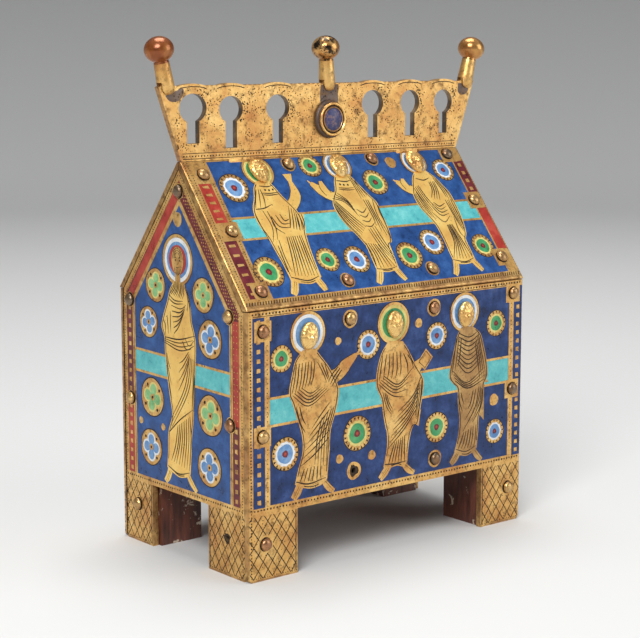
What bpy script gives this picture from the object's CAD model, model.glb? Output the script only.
import math
import random

import bpy
import numpy as np
from mathutils import Matrix, Vector, noise
from mathutils.geometry import delaunay_2d_cdt


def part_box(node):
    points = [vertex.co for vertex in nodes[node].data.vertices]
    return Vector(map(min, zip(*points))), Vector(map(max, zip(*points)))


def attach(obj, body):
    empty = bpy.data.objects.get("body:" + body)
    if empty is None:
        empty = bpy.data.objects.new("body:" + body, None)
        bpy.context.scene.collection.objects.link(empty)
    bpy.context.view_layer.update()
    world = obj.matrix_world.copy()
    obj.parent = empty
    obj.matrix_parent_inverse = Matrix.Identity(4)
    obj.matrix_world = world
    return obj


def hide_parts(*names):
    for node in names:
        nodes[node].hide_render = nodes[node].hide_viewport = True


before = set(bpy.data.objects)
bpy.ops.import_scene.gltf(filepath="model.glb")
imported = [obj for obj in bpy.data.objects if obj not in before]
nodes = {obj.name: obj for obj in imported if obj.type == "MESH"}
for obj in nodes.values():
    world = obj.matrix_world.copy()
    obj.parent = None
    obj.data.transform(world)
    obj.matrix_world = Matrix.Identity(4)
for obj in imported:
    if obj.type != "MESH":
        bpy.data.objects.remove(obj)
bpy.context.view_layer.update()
mm = 0.001

# sizes in millimetres; the plates' own drawings below are in millimetres on each plate
frontLow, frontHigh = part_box("front_plate")
casket = {
    "halfWidth": frontHigh.x / mm,
    "halfDepth": -frontLow.y / mm,
    "eave": (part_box("front_roof_plate")[0].z / mm) + 0.2,
    "ridgeFlat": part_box("front_roof_plate")[1].z / mm,
    "ridge": 130.7,
    "plate": 2.2,
    "footTop": 21.1,
}
pitch = math.atan2(casket["ridge"] - casket["eave"], casket["halfDepth"])
runShare, riseShare = math.cos(pitch), math.sin(pitch)


def deselectAll():
    if bpy.context.object and bpy.context.object.mode != "OBJECT":
        bpy.ops.object.mode_set(mode="OBJECT")
    bpy.ops.object.select_all(action="DESELECT")


def makeActive(piece):
    deselectAll()
    piece.select_set(True)
    bpy.context.view_layer.objects.active = piece


# where a face of the casket lies: x along it, y up it, z out of it, all in millimetres
def facePlace(turn, lean, reach, height):
    place = Matrix.Rotation(math.radians(turn), 4, "Z") @ Matrix.Translation((0, -reach, height))
    return place @ Matrix.Rotation(lean, 4, "X")


upright = math.pi / 2
faces = {
    "front": facePlace(0, upright, casket["halfDepth"], 0),
    "back": facePlace(180, upright, casket["halfDepth"], 0),
    "left_end": facePlace(-90, upright, casket["halfWidth"], 0),
    "right_end": facePlace(90, upright, casket["halfWidth"], 0),
    "front_roof": facePlace(0, pitch, casket["halfDepth"], casket["eave"]),
    "back_roof": facePlace(180, pitch, casket["halfDepth"], casket["eave"]),
}
nailPlaces = {
    "front": [(-54, 79), (-19, 79.5), (17.5, 79.5), (54.8, 81), (-54.3, 46), (54.8, 47.4), (18.5, 28),
              (-53.4, 11.6), (53.5, 12.3)],
    "back": [(-54, 80), (54, 80), (-54, 44), (54, 44), (-50, 12), (50, 12)],
    "left_end": [(0, 120), (-29, 82.2), (26, 83), (-29.2, 48.9), (26.5, 48.9), (-26, 13)],
    "right_end": [(0, 120), (-28, 81), (28, 81), (-25, 13), (25, 13)],
    "front_roof": [(-53.6, 50.2), (-18.3, 52.4), (18.1, 52.6), (53.5, 52.8), (-52.5, 28.6), (55.2, 33),
                   (-51.7, 6.3), (-16.5, 6.9), (21, 7.7), (54.5, 9.2)],
    "back_roof": [(-46, 49), (46, 49), (-54, 7), (54, 7)],
}


def newFinish(name, roughness=0.4, metallic=0.0):
    finish = bpy.data.materials.new(name)
    finish.use_nodes = True
    shader = finish.node_tree.nodes["Principled BSDF"]
    shader.inputs["Roughness"].default_value = roughness
    shader.inputs["Metallic"].default_value = metallic
    return finish, finish.node_tree, shader


def addNode(tree, kind, values=None, **settings):
    node = tree.nodes.new(kind)
    for key, value in settings.items():
        setattr(node, key, value)
    for key, value in (values or {}).items():
        node.inputs[key].default_value = value
    return node


def ownPlace(tree):
    return addNode(tree, "ShaderNodeTexCoord").outputs["Object"]


def noiseAt(tree, place, scale, detail=4, roughness=0.55, distortion=0.0):
    node = addNode(tree, "ShaderNodeTexNoise",
                   {"Scale": scale, "Detail": detail, "Roughness": roughness, "Distortion": distortion})
    tree.links.new(place, node.inputs["Vector"])
    return node.outputs["Fac"]


def ramp(tree, source, stops):
    node = addNode(tree, "ShaderNodeValToRGB")
    stopList = node.color_ramp.elements
    while len(stopList) < len(stops):
        stopList.new(0.5)
    for element, (position, colour) in zip(stopList, stops):
        element.position = position
        element.color = (*colour, 1) if len(colour) == 3 else colour
    tree.links.new(source, node.inputs["Fac"])
    return node.outputs["Color"]


def mixColours(tree, share, first, second, blend="MIX"):
    node = addNode(tree, "ShaderNodeMix", data_type="RGBA", blend_type=blend)
    for socket, value in ((node.inputs["Factor"], share), (node.inputs[6], first),
                          (node.inputs[7], second)):
        if isinstance(value, bpy.types.NodeSocket):
            tree.links.new(value, socket)
        elif isinstance(value, (int, float)):
            socket.default_value = value
        else:
            socket.default_value = (*value, 1)
    return node.outputs[2]


def mapRange(tree, source, fromLow, fromHigh, toLow, toHigh):
    node = addNode(tree, "ShaderNodeMapRange", {"From Min": fromLow, "From Max": fromHigh,
                                                "To Min": toLow, "To Max": toHigh})
    tree.links.new(source, node.inputs["Value"])
    return node.outputs["Result"]


def bumpFrom(tree, shader, height, strength, distance):
    node = addNode(tree, "ShaderNodeBump", {"Strength": strength, "Distance": distance})
    tree.links.new(height, node.inputs["Height"])
    tree.links.new(node.outputs["Normal"], shader.inputs["Normal"])


def giltFinish(name, look):
    finish, tree, shader = newFinish(name, metallic=look["metallic"])
    place = ownPlace(tree)
    broad = noiseAt(tree, place, look["broadScale"], 5, 0.6, 0.3)
    fine = noiseAt(tree, place, look["fineScale"], 6, 0.7)
    pits = noiseAt(tree, place, look["pitScale"], 3, 0.6)
    gold = ramp(tree, broad, [(0.3, look["pale"]), (0.5, look["gold"]), (0.72, look["copper"])])
    worn = ramp(tree, fine, [(look["wearFrom"], (0, 0, 0)), (look["wearTo"], (1, 1, 1))])
    colour = mixColours(tree, worn, gold, look["brown"])
    pitShare = ramp(tree, pits, [(look["pitFrom"], (0, 0, 0)), (look["pitFrom"] + 0.06, (1, 1, 1))])
    colour = mixColours(tree, pitShare, colour, look["pit"])
    tree.links.new(colour, shader.inputs["Base Color"])
    tree.links.new(mapRange(tree, fine, 0.35, 0.75, look["smooth"], look["rough"]),
                   shader.inputs["Roughness"])
    bumpFrom(tree, shader, mixColours(tree, 0.5, fine, pits), look["bump"], 0.0004)
    return finish


giltLook = {
    "metallic": 0.72, "broadScale": 110, "fineScale": 420, "pitScale": 1500,
    "pale": (0.84, 0.55, 0.20), "gold": (0.68, 0.39, 0.12), "copper": (0.50, 0.21, 0.06),
    "brown": (0.20, 0.10, 0.035), "pit": (0.045, 0.025, 0.014),
    "wearFrom": 0.50, "wearTo": 0.70, "pitFrom": 0.655, "smooth": 0.30, "rough": 0.55, "bump": 0.3,
}


def enamelFinish(name, look):
    finish, tree, shader = newFinish(name, look.get("roughness", 0.2))
    place = ownPlace(tree)
    cloud = noiseAt(tree, place, look.get("cloudScale", 190), 6, 0.7, 0.1)
    specks = noiseAt(tree, place, 1500, 3, 0.6)
    colour = ramp(tree, cloud, [(0.3, look["deep"]), (0.5, look["colour"]), (0.72, look["pale"])])
    speckShare = ramp(tree, specks, [(0.62, (0, 0, 0)), (0.72, (1, 1, 1))])
    colour = mixColours(tree, speckShare, colour, look.get("speck", look["deep"]))
    tree.links.new(colour, shader.inputs["Base Color"])
    tree.links.new(mapRange(tree, cloud, 0.3, 0.7, 0.24, 0.42), shader.inputs["Roughness"])
    shader.inputs["Specular IOR Level"].default_value = 0.35
    bumpFrom(tree, shader, specks, 0.12, 0.0002)
    return finish


enamelLooks = {
    "lapis": {"deep": (0.005, 0.026, 0.100), "colour": (0.012, 0.060, 0.210),
              "pale": (0.035, 0.115, 0.330)},
    "navy": {"deep": (0.002, 0.010, 0.048), "colour": (0.007, 0.030, 0.125), "pale": (0.035, 0.075, 0.230)},
    "turquoise": {"deep": (0.050, 0.300, 0.330), "colour": (0.095, 0.430, 0.440),
                  "pale": (0.200, 0.560, 0.540)},
    "skyBlue": {"deep": (0.060, 0.150, 0.330), "colour": (0.105, 0.235, 0.460),
                "pale": (0.240, 0.380, 0.560)},
    "paleGreen": {"deep": (0.110, 0.300, 0.110), "colour": (0.220, 0.450, 0.190),
                  "pale": (0.350, 0.560, 0.290)},
    "leafGreen": {"deep": (0.020, 0.150, 0.060), "colour": (0.045, 0.270, 0.100),
                  "pale": (0.120, 0.380, 0.160)},
    "white": {"deep": (0.480, 0.500, 0.520), "colour": (0.660, 0.680, 0.680),
              "pale": (0.780, 0.790, 0.780)},
    "yellow": {"deep": (0.480, 0.360, 0.090), "colour": (0.640, 0.520, 0.160),
               "pale": (0.740, 0.640, 0.280)},
    "red": {"deep": (0.200, 0.016, 0.012), "colour": (0.350, 0.032, 0.020), "pale": (0.460, 0.080, 0.050)},
    "maroon": {"deep": (0.050, 0.006, 0.010), "colour": (0.120, 0.012, 0.018),
               "pale": (0.190, 0.030, 0.030)},
}


def grooveFinish():
    finish, tree, shader = newFinish("darkGroove", 0.7, 0.2)
    place = ownPlace(tree)
    dirt = noiseAt(tree, place, 600, 4)
    colour = ramp(tree, dirt, [(0.35, (0.014, 0.008, 0.005)), (0.75, (0.055, 0.028, 0.013))])
    tree.links.new(colour, shader.inputs["Base Color"])
    return finish


finishes = {"gilt": giltFinish("giltCopper", giltLook), "groove": grooveFinish()}
for enamelName, enamelLook in enamelLooks.items():
    finishes[enamelName] = enamelFinish(enamelName + "Enamel", enamelLook)
edgeLook = dict(giltLook, gold=(0.50, 0.28, 0.10), copper=(0.34, 0.16, 0.07), wearFrom=0.45, wearTo=0.66)
finishes["edge"] = giltFinish("wornEdge", edgeLook)
backLook = dict(giltLook, pale=(0.42, 0.21, 0.11), gold=(0.30, 0.14, 0.07), copper=(0.20, 0.09, 0.05))
finishes["bare"] = giltFinish("bareCopper", backLook)
brightLook = dict(giltLook, pale=(0.96, 0.68, 0.22), gold=(0.88, 0.56, 0.15), copper=(0.74, 0.40, 0.10),
                  wearFrom=0.60, wearTo=0.85, metallic=0.5, bump=0.15)
brownLook = dict(giltLook, pale=(0.62, 0.40, 0.15), gold=(0.44, 0.25, 0.09), copper=(0.28, 0.14, 0.05),
                 metallic=0.6)
solderLook = dict(giltLook, pale=(0.20, 0.15, 0.12), gold=(0.11, 0.075, 0.06), copper=(0.055, 0.04, 0.035),
                  metallic=0.4, rough=0.7)
boreLook = dict(solderLook, pale=(0.30, 0.20, 0.10), gold=(0.09, 0.065, 0.045), copper=(0.03, 0.03, 0.025))
for giltName, look in (("bright", brightLook), ("brown", brownLook), ("solder", solderLook),
                       ("bore", boreLook)):
    finishes[giltName] = giltFinish(giltName + "Metal", look)
# how far below the metal's face each filling lies
levels = {"gilt": 0.0, "bright": 0.0, "brown": 0.0, "edge": 0.0, "solder": 0.0, "groove": -0.10}
enamelLevel = -0.045
print("finishes are ready")


# a drawing is a list of (outline, filling); what is drawn later lies over what was drawn before

dice = random.Random(11)


def disc(drawing, x, y, radius, filling, sides=30, wobble=0.0):
    turn = dice.random() * math.tau
    points = []
    for k in range(sides):
        angle = turn + k * math.tau / sides
        reach = radius * (1 + wobble * math.sin(3 * angle + x) + wobble * math.sin(5 * angle + y) / 2)
        points.append((x + reach * math.cos(angle), y + reach * math.sin(angle)))
    drawing.append((points, filling))


def block(drawing, left, low, right, high, filling, rise=0.0):
    drawing.append(([(left, low), (right, low + rise), (right, high + rise), (left, high)], filling))


def curveThrough(points, steps=5):
    if len(points) < 3:
        return points
    ends = [tuple(2 * a - b for a, b in zip(points[0], points[1])), *points,
            tuple(2 * a - b for a, b in zip(points[-1], points[-2]))]
    found = []
    for i in range(1, len(ends) - 2):
        for step in range(steps):
            t = step / steps
            found.append(tuple(
                0.5 * (2 * b + (c - a) * t + (2 * a - 5 * b + 4 * c - d) * t * t
                       + (3 * b - a - 3 * c + d) * t ** 3)
                for a, b, c, d in zip(ends[i - 1], ends[i], ends[i + 1], ends[i + 2])))
    found.append(points[-1])
    return found


# a line of the given width that swells from its first end and tapers to its last
def stroke(drawing, points, width=0.36, filling="groove", endWidth=None, startWidth=None, steps=5):
    path = curveThrough(points, steps)
    endWidth = width * 0.35 if endWidth is None else endWidth
    startWidth = width * 0.6 if startWidth is None else startWidth
    left, right = [], []
    for i, (x, y) in enumerate(path):
        before, after = path[max(i - 1, 0)], path[min(i + 1, len(path) - 1)]
        dx, dy = after[0] - before[0], after[1] - before[1]
        length = math.hypot(dx, dy) or 1
        t = i / (len(path) - 1)
        half = (startWidth + (width - startWidth) * t * 4 if t < 0.25 else
                width if t < 0.6 else width + (endWidth - width) * (t - 0.6) / 0.4) / 2
        left.append((x - dy / length * half, y + dx / length * half))
        right.append((x + dy / length * half, y - dx / length * half))
    drawing.append((right + left[::-1], filling))


# several strokes, spaced evenly from one guide line to another
def folds(drawing, first, last, count, width=0.42):
    for k in range(count):
        t = k / max(count - 1, 1)
        line = [(a[0] + (b[0] - a[0]) * t + dice.uniform(-0.12, 0.12), a[1] + (b[1] - a[1]) * t)
                for a, b in zip(first, last)]
        stroke(drawing, line, width * dice.uniform(0.8, 1.15))


def beadRow(drawing, start, end, pitch, radius, filling="groove", sides=6):
    count = max(1, round(math.dist(start, end) / pitch))
    for k in range(count + 1):
        t = k / count
        x = start[0] + (end[0] - start[0]) * t + dice.uniform(-0.06, 0.06)
        y = start[1] + (end[1] - start[1]) * t + dice.uniform(-0.06, 0.06)
        disc(drawing, x, y, radius * dice.uniform(0.85, 1.15), filling, sides)


def squareRow(drawing, start, end, pitch, half, filling="gilt", tall=None):
    tall = half if tall is None else tall
    count = max(1, round(math.dist(start, end) / pitch))
    for k in range(count):
        t = (k + 0.5) / count
        x = start[0] + (end[0] - start[0]) * t
        y = start[1] + (end[1] - start[1]) * t
        skew = dice.uniform(-0.15, 0.15)
        points = [(x - half, y - tall * 0.9 + skew), (x + half, y - tall - skew),
                  (x + half * 0.9, y + tall + skew), (x - half, y + tall * 0.9)]
        drawing.append((points, filling))


def hatch(drawing, left, low, right, high, across, tall, width=0.32):
    lean = across / tall
    reach = (high - low) * lean
    start = left - reach - across
    while start < right + reach:
        shift = dice.uniform(-0.12, 0.12)
        for x0, x1 in ((start, start + reach), (start + reach, start)):
            stroke(drawing, [(x0 + shift, low), (x1 + shift, high)], width * dice.uniform(0.8, 1.2),
                   endWidth=width, startWidth=width)
        start += across


def notches(drawing, x, y, outer, inner, count, half):
    for k in range(count):
        angle = k * math.tau / count + dice.uniform(-0.03, 0.03)
        points = [(x + r * math.cos(angle + a), y + r * math.sin(angle + a))
                  for r, a in ((outer, -half), (outer, half), (inner, 0.0))]
        drawing.append((points, "groove"))


def roundel(drawing, x, y, radius, kind):
    rim, heart = ("white", "skyBlue") if kind == "blue" else ("yellow", "leafGreen")
    disc(drawing, x, y, radius * 1.03, "groove", 30, 0.015)
    disc(drawing, x, y, radius * 0.97, "gilt", 30, 0.015)
    notches(drawing, x, y, radius * 0.95, radius * 0.76, round(radius * 3.6), 0.085)
    scallops = round(radius * 2.4)
    points = []
    for k in range(scallops * 4):
        angle = k * math.tau / (scallops * 4)
        reach = radius * (0.73 + 0.035 * math.cos(angle * scallops))
        points.append((x + reach * math.cos(angle), y + reach * math.sin(angle)))
    drawing.append((points, rim))
    disc(drawing, x, y, radius * 0.58, heart, 26, 0.03)
    disc(drawing, x, y, radius * 0.22, "maroon", 10, 0.08)
    disc(drawing, x, y, radius * 0.10, "red", 8)


def quatrefoil(drawing, x, y, radius, kind):
    rim, heart = ("white", "skyBlue") if kind == "blue" else ("yellow", "paleGreen")
    disc(drawing, x, y, radius * 1.03, "groove", 30, 0.015)
    disc(drawing, x, y, radius * 0.97, "gilt", 30, 0.015)
    turn = dice.uniform(-0.2, 0.2)
    for share, middle, filling in ((0.39, 0.35, rim), (0.28, 0.30, heart)):
        disc(drawing, x, y, radius * middle, filling, 16)
        for k in range(4):
            angle = turn + k * math.pi / 2
            disc(drawing, x + radius * 0.42 * math.cos(angle), y + radius * 0.42 * math.sin(angle),
                 radius * share, filling, 16)
    disc(drawing, x, y, radius * 0.18, "gilt", 12)
    disc(drawing, x, y, radius * 0.08, "groove", 7)
    for k in range(4):
        angle = turn + math.pi / 4 + k * math.pi / 2
        disc(drawing, x + radius * 0.74 * math.cos(angle), y + radius * 0.74 * math.sin(angle),
             radius * 0.09, "groove", 6)


def halo(drawing, x, y, radius, fillings):
    disc(drawing, x, y, radius + 0.22, "groove", 44)
    disc(drawing, x, y, radius - 0.05, "gilt", 44)
    for share, filling in zip((0.87, 0.71, 0.58), fillings):
        disc(drawing, x, y, radius * share, filling, 40, 0.006)


def nailSeat(drawing, x, y, radius=2.9):
    disc(drawing, x, y, radius, "gilt", 24, 0.02)
    disc(drawing, x, y, 2.32, "groove", 20, 0.03)
    disc(drawing, x, y, 1.0, "hole", 10)


# a standing figure: its outline from rows of (height, left, right), then feet, arms and folds
def figure(drawing, look, metal="gilt"):
    rows = look["rows"]
    leftSide = curveThrough([(left, height) for height, left, right in rows], 4)
    rightSide = curveThrough([(right, height) for height, left, right in rows], 4)
    for foot in look["feet"]:
        stroke(drawing, foot["line"], foot["wide"], metal, foot["wide"] * 0.75, foot["wide"], 4)
        ankle, toe = foot["line"][0], foot["line"][-1]
        folds(drawing, [ankle, toe], [(ankle[0] + 0.9, ankle[1]), (toe[0] + 0.9, toe[1])], 2, 0.26)
    for arm in look.get("arms", []):
        stroke(drawing, arm["line"], arm["wide"] + 0.5, "groove", arm["tip"] + 0.3, arm["wide"] + 0.5, 5)
        stroke(drawing, arm["line"], arm["wide"], metal, arm["tip"], arm["wide"], 5)
        for dx, dy in arm.get("fingers", []):
            x, y = arm["line"][-1]
            stroke(drawing, [(x - dx * 0.3, y - dy * 0.3), (x + dx, y + dy)], 0.9, metal, 0.5, 0.9)
    hem = curveThrough(look["hem"], 4)
    drawing.append((leftSide + hem + rightSide[::-1], metal))
    for shape in look.get("shapes", []):
        drawing.append((shape, metal))
    for side, inward in ((leftSide, 1), (rightSide, -1)):
        stroke(drawing, [(x + inward * 0.55, y) for x, y in side[2:-2]], 0.34, "groove", 0.3, 0.3, 1)
    stroke(drawing, [(x, y + 0.6) for x, y in hem[1:-1]], 0.32, "groove", 0.3, 0.3, 1)
    for x, y in look.get("spots", []):
        disc(drawing, x, y, 0.42, "groove", 8)
    for first, *more in look["folds"]:      # a guide alone is one fold
        last, count = more or (first, 1)
        folds(drawing, first, last, count)


def loopsFrom(edges):
    following = dict(edges)
    loops = []
    while following:
        start, here = following.popitem()
        loop = [start]
        while here != start:
            loop.append(here)
            here = following.pop(here)
        loops.append(loop)
    return loops


# One closed mesh: the metal's face with every filling at its own level, the plate's edge and its back.
# rings are (depth, shift) steps from the face down the edge; shift(x, y) moves the outline there.
def buildPlate(name, drawing, place, rings, rounding, grid=3.2, hammer=0.1, backFilling="bare"):
    points, edges, shapes = [], [], []
    for outline, filling in drawing:
        first = len(points)
        turned = sum(a[0] * b[1] - b[0] * a[1] for a, b in zip(outline, outline[1:] + outline[:1]))
        points.extend(Vector(p) for p in (outline if turned > 0 else outline[::-1]))
        shapes.append(list(range(first, len(points))))
    xs, ys = [p.x for p in points[:len(drawing[0][0])]], [p.y for p in points[:len(drawing[0][0])]]
    for x in np.arange(min(xs), max(xs), grid):
        points.extend(Vector((x + dice.uniform(-0.6, 0.6), y + dice.uniform(-0.6, 0.6)))
                      for y in np.arange(min(ys), max(ys), grid))
    for line in rounding["lines"]:
        for inset in rounding["insets"]:
            (ax, ay), (bx, by) = line
            length = math.dist(*line)
            nx, ny = -(by - ay) / length, (bx - ax) / length
            first = len(points)
            points.extend([Vector((ax + nx * inset, ay + ny * inset)),
                           Vector((bx + nx * inset, by + ny * inset))])
            edges.append((first, first + 1))
    verts, _, tris, _, _, owners = delaunay_2d_cdt(points, edges, shapes, 1, 1e-4, True)
    kept = []
    for tri, owner in zip(tris, owners):
        if 0 not in owner or any(drawing[i][1] == "hole" for i in owner):
            continue
        filling = drawing[max(owner)][1]
        kept.append((tri, filling, levels.get(filling, enamelLevel)))

    levelsAt, sides = {}, {}
    for tri, filling, level in kept:
        for k in range(3):
            levelsAt.setdefault(tri[k], set()).add(level)
            sides[(tri[k], tri[(k + 1) % 3])] = (level, filling)
    ids, coords = {}, []

    def roundOff(x, y):
        drop = 0.0
        radius = rounding["radius"]
        for (ax, ay), (bx, by) in rounding["lines"]:
            length = math.dist((ax, ay), (bx, by))
            distance = ((bx - ax) * (y - ay) - (by - ay) * (x - ax)) / length
            if distance < radius:
                drop = max(drop, radius - math.sqrt(max(0, radius ** 2 - (radius - max(distance, 0)) ** 2)))
        return drop

    def corner(v, level):
        key = (v, level)
        if key not in ids:
            x, y = verts[v]
            if isinstance(level, str):
                depth, shift = rings[int(level[4:])]
                x, y = shift(x, y)
                depth = -depth
            else:
                wave = noise.noise(Vector((x * 0.09, y * 0.09, len(name))))
                depth = level - roundOff(x, y) - hammer * (0.5 + 0.5 * wave)
            ids[key] = len(coords)
            coords.append(place @ Vector((x, y, depth)) * mm)
        return ids[key]

    polygons, fillings = [], []
    for tri, filling, level in kept:
        polygons.append([corner(v, level) for v in tri])
        fillings.append(filling)
    boundary, walls = [], []
    for (u, v), (level, filling) in sides.items():
        other = sides.get((v, u))
        if other is None:
            boundary.append((u, v))
            down = [[lv for lv in sorted(levelsAt[w], reverse=True) if lv <= level] for w in (u, v)]
            polygons.append([corner(u, lv) for lv in down[0]] + [corner(u, "ring0"), corner(v, "ring0")]
                            + [corner(v, lv) for lv in down[1][::-1]])
            walls.append((len(fillings), u))
            fillings.append("edge")
            for k in range(1, len(rings)):
                polygons.append([corner(u, f"ring{k - 1}"), corner(u, f"ring{k}"),
                                 corner(v, f"ring{k}"), corner(v, f"ring{k - 1}")])
                walls.append((len(fillings), u))
                fillings.append("edge")
        elif other[0] < level:
            down = [[lv for lv in sorted(levelsAt[w], reverse=True) if other[0] <= lv <= level]
                    for w in (u, v)]
            polygons.append([corner(u, lv) for lv in down[0]] + [corner(v, lv) for lv in down[1][::-1]])
            fillings.append("groove")
    loops = loopsFrom(boundary)
    flat = [verts[v] for loop in loops for v in loop]
    owned = [v for loop in loops for v in loop]
    starts = np.cumsum([0] + [len(loop) for loop in loops])
    loopShapes = [list(range(starts[k], starts[k + 1])) for k in range(len(loops))]
    areas = [abs(sum(a.x * b.y - b.x * a.y for a, b in zip(run, run[1:] + run[:1])))
             for run in [[verts[v] for v in loop] for loop in loops]]
    outer = areas.index(max(areas))
    rim = set(loops[outer])
    for wall, start in walls:
        if start not in rim:
            fillings[wall] = "bore"      # the walls of holes are dark
    _, _, backTris, backOf, _, backOwners = delaunay_2d_cdt(flat, [], loopShapes, 1, 1e-6, True)
    for tri, owner in zip(backTris, backOwners):
        if list(owner) == [outer]:
            polygons.append([corner(owned[backOf[v][0]], f"ring{len(rings) - 1}") for v in reversed(tri)])
            fillings.append(backFilling)

    mesh = bpy.data.meshes.new(name)
    mesh.from_pydata(coords, [], polygons)
    used = sorted(set(fillings))
    for filling in used:
        mesh.materials.append(finishes[filling])
    mesh.polygons.foreach_set("material_index", [used.index(filling) for filling in fillings])
    plate = bpy.data.objects.new(name, mesh)
    bpy.context.scene.collection.objects.link(plate)
    makeActive(plate)
    bpy.ops.object.shade_smooth_by_angle(angle=math.radians(32))
    print(name, len(coords), "vertices,", len(polygons), "faces")
    return plate


def noShift(x, y):
    return x, y


def finishPiece(piece, node):
    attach(piece, "root")
    if node:
        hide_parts(*([node] if isinstance(node, str) else node))


halfW, halfD = casket["halfWidth"], casket["halfDepth"]
plainRings = [(casket["plate"] - 0.3, noShift), (casket["plate"], noShift)]


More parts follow.
